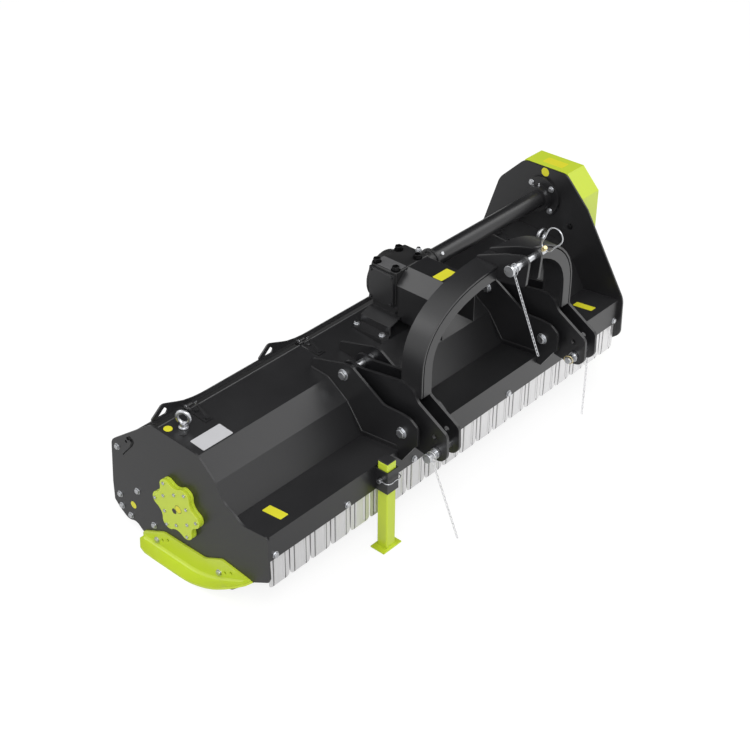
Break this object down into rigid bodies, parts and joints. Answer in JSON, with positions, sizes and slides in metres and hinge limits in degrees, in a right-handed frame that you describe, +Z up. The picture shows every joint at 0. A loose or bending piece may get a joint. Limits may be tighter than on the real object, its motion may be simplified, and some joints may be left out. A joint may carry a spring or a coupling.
{
  "type": "flail mower",
  "caption": "Rear-mounted flail mower with arched three-point hitch, offset gearbox, side belt drive, front flaps and skids.",
  "frame": {"origin": "on the ground below the front lip's front face, half way between the two side plates", "axes": "+X across the machine towards the belt cover, +Y to the rear, +Z up"},
  "size_m": [2.232, 1.1197, 1.1208],
  "materials": {
    "black_paint": "satin",
    "lime_paint": "satin",
    "cast_dark": "satin",
    "black_bolt": "satin",
    "zinc": "satin",
    "bare_steel": "satin",
    "yellow_zinc": "satin",
    "belt_rubber": "matte"
  },
  "bodies": {
    "frame": {"roof_sheet": "black_paint", "front_shelf": "black_paint", "side_plate_left": "black_paint", "side_plate_right": "black_paint", "hinge_leaves": "black_paint", "hitch_ribs": "black_paint", "clevis_plates": "black_paint", "arch_skin": "black_paint", "arch_webs": "black_paint", "top_link_ears": "black_paint", "hitch_bolts": "zinc", "gearbox_case": "cast_dark", "gearbox_cover": "black_paint", "gearbox_stand": "black_paint", "gearbox_bolts": "black_bolt", "input_guard": "black_paint", "drive_tube": "black_paint", "tube_bolts": "zinc", "belt_cover": "lime_paint", "drive_bearings": "bare_steel", "rotor_bearings": "cast_dark", "bearing_cover": "lime_paint", "skids": "lime_paint", "side_bolts": "zinc", "roller_brackets": "cast_dark", "flap_rod": "zinc", "lip_bolts": "zinc", "eye_bolts": "zinc", "jack_sleeve": "black_paint", "drive_belts": "belt_rubber"},
    "rotor_body": {"rotor": "bare_steel", "flail_pins": "zinc", "rotor_pulley": "cast_dark"},
    "flail_row_a": {"flails_a": "bare_steel"},
    "flail_row_b": {"flails_b": "bare_steel"},
    "flail_row_c": {"flails_c": "bare_steel"},
    "flail_row_d": {"flails_d": "bare_steel"},
    "cross_drive": {"cross_shaft": "bare_steel", "drive_pulley": "cast_dark"},
    "pto_input": {"input_shaft": "bare_steel"},
    "tension_arm": {"idler_arm": "cast_dark"},
    "tension_pulley": {"idler_pulley": "cast_dark"},
    "flap_section_1": {"flaps_left": "zinc"},
    "flap_section_2": {"flaps_mid_left": "zinc"},
    "flap_section_3": {"flaps_mid_right": "zinc"},
    "flap_section_4": {"flaps_right": "zinc"},
    "rear_flap": {"rear_hood": "black_paint", "rear_hooks": "black_paint", "hood_knob": "lime_paint"},
    "rear_roller": {"roller": "bare_steel"},
    "stand_leg": {"jack_leg": "lime_paint"},
    "stand_pin": {"jack_pin": "zinc"},
    "top_pin": {"top_link_pin": "zinc", "lynch_pin": "yellow_zinc"},
    "snap_ring": {"lynch_ring": "yellow_zinc"},
    "low_pin_left": {"lower_pin_left": "zinc"},
    "low_pin_right": {"lower_pin_right": "zinc"},
    "top_chain": {"chain_top": "zinc"},
    "left_chain": {"chain_left": "zinc"},
    "right_chain": {"chain_right": "zinc"}
  },
  "joints": [
    {"name": "rotor_spin", "type": "hinge", "parent": "frame", "child": "rotor_body", "pos_m": [0, 0.436, 0.262], "axis": [1, 0, 0], "continuous": true},
    {"name": "flail_row_a_swing", "type": "hinge", "parent": "rotor_body", "child": "flail_row_a", "pos_m": [0, 0.52085, 0.34685], "axis": [1, 0, 0], "range_deg": [-3, 270]},
    {"name": "flail_row_b_swing", "type": "hinge", "parent": "rotor_body", "child": "flail_row_b", "pos_m": [0, 0.35115, 0.34685], "axis": [1, 0, 0], "range_deg": [-270, 3]},
    {"name": "flail_row_c_swing", "type": "hinge", "parent": "rotor_body", "child": "flail_row_c", "pos_m": [0, 0.35115, 0.17715], "axis": [1, 0, 0], "range_deg": [-184, 94]},
    {"name": "flail_row_d_swing", "type": "hinge", "parent": "rotor_body", "child": "flail_row_d", "pos_m": [0, 0.52085, 0.17715], "axis": [1, 0, 0], "range_deg": [-94, 184]},
    {"name": "cross_shaft_spin", "type": "hinge", "parent": "frame", "child": "cross_drive", "pos_m": [0, 0.423, 0.7], "axis": [1, 0, 0], "continuous": true},
    {"name": "input_shaft_spin", "type": "hinge", "parent": "frame", "child": "pto_input", "pos_m": [0.121, 0.3, 0.7], "axis": [0, 1, 0], "continuous": true},
    {"name": "tension_arm_swing", "type": "hinge", "parent": "frame", "child": "tension_arm", "pos_m": [1.04, 0.272, 0.61], "axis": [1, 0, 0], "range_deg": [-8, 0]},
    {"name": "tension_pulley_spin", "type": "hinge", "parent": "tension_arm", "child": "tension_pulley", "pos_m": [1.08, 0.3, 0.49], "axis": [1, 0, 0], "continuous": true},
    {"name": "flap_section_1_swing", "type": "hinge", "parent": "frame", "child": "flap_section_1", "pos_m": [0, 0.021, 0.276], "axis": [1, 0, 0], "range_deg": [0, 90]},
    {"name": "flap_section_2_swing", "type": "hinge", "parent": "frame", "child": "flap_section_2", "pos_m": [0, 0.021, 0.276], "axis": [1, 0, 0], "range_deg": [0, 90]},
    {"name": "flap_section_3_swing", "type": "hinge", "parent": "frame", "child": "flap_section_3", "pos_m": [0, 0.021, 0.276], "axis": [1, 0, 0], "range_deg": [0, 90]},
    {"name": "flap_section_4_swing", "type": "hinge", "parent": "frame", "child": "flap_section_4", "pos_m": [0, 0.021, 0.276], "axis": [1, 0, 0], "range_deg": [0, 90]},
    {"name": "rear_hood_swing", "type": "hinge", "parent": "frame", "child": "rear_flap", "pos_m": [0, 0.562, 0.545], "axis": [1, 0, 0], "range_deg": [0, 80]},
    {"name": "roller_spin", "type": "hinge", "parent": "frame", "child": "rear_roller", "pos_m": [0, 0.734, 0.111], "axis": [1, 0, 0], "continuous": true},
    {"name": "stand_leg_slide", "type": "slide", "parent": "frame", "child": "stand_leg", "axis": [0, 0, 1], "range_m": [0, 0.25]},
    {"name": "stand_pin_turn", "type": "hinge", "parent": "frame", "child": "stand_pin", "pos_m": [-0.463, -0.0295, 0.318], "axis": [1, 0, 0], "range_deg": [-35, 35]},
    {"name": "top_pin_turn", "type": "hinge", "parent": "frame", "child": "top_pin", "pos_m": [0.121, -0.164, 1.007], "axis": [1, 0, 0], "range_deg": [-110, 160]},
    {"name": "snap_ring_flip", "type": "hinge", "parent": "top_pin", "child": "snap_ring", "pos_m": [0.191, -0.17571, 1.02503], "axis": [0, 0.8387, 0.5446], "range_deg": [0, 165]},
    {"name": "low_pin_left_turn", "type": "hinge", "parent": "frame", "child": "low_pin_left", "pos_m": [-0.2915, -0.145, 0.41], "axis": [1, 0, 0], "continuous": true},
    {"name": "low_pin_right_turn", "type": "hinge", "parent": "frame", "child": "low_pin_right", "pos_m": [0.5335, -0.145, 0.41], "axis": [1, 0, 0], "continuous": true},
    {"name": "top_chain_swing", "type": "hinge", "parent": "frame", "child": "top_chain", "pos_m": [0.027, -0.164, 1.007], "axis": [1, 0, 0], "range_deg": [-60, 55]},
    {"name": "left_chain_swing", "type": "hinge", "parent": "frame", "child": "left_chain", "pos_m": [-0.3605, -0.145, 0.41], "axis": [1, 0, 0], "range_deg": [-55, 45]},
    {"name": "right_chain_swing", "type": "hinge", "parent": "frame", "child": "right_chain", "pos_m": [0.5905, -0.145, 0.41], "axis": [1, 0, 0], "range_deg": [-60, 25]}
  ],
  "couplings": [
    {"joint": "cross_shaft_spin", "follows": "rotor_spin", "ratio": 0.8421},
    {"joint": "input_shaft_spin", "follows": "rotor_spin", "ratio": 0.2807}
  ]
}
